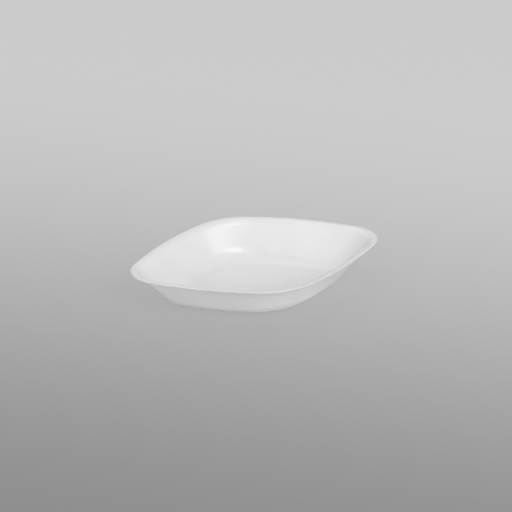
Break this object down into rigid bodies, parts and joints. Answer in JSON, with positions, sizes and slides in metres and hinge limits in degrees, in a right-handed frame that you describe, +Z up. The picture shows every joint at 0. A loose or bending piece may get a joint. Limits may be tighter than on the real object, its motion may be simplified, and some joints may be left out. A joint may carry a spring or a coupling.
{
  "type": "weighing boat",
  "caption": "Shallow diamond-shaped boat of thin white plastic, with a flat foot, leaning walls and an outward-turned lip, for weighing out and pouring powders or liquids.",
  "frame": {"origin": "on the table under the middle of the foot", "axes": "+X along the long diagonal through the two pointed corners, +Y along the short diagonal, +Z up out of the open side"},
  "size_m": [0.088, 0.06, 0.013],
  "materials": {
    "white_polystyrene": "satin white, a little translucent"
  },
  "bodies": {
    "root": {"weighing_boat": "white_polystyrene"}
  },
  "joints": []
}
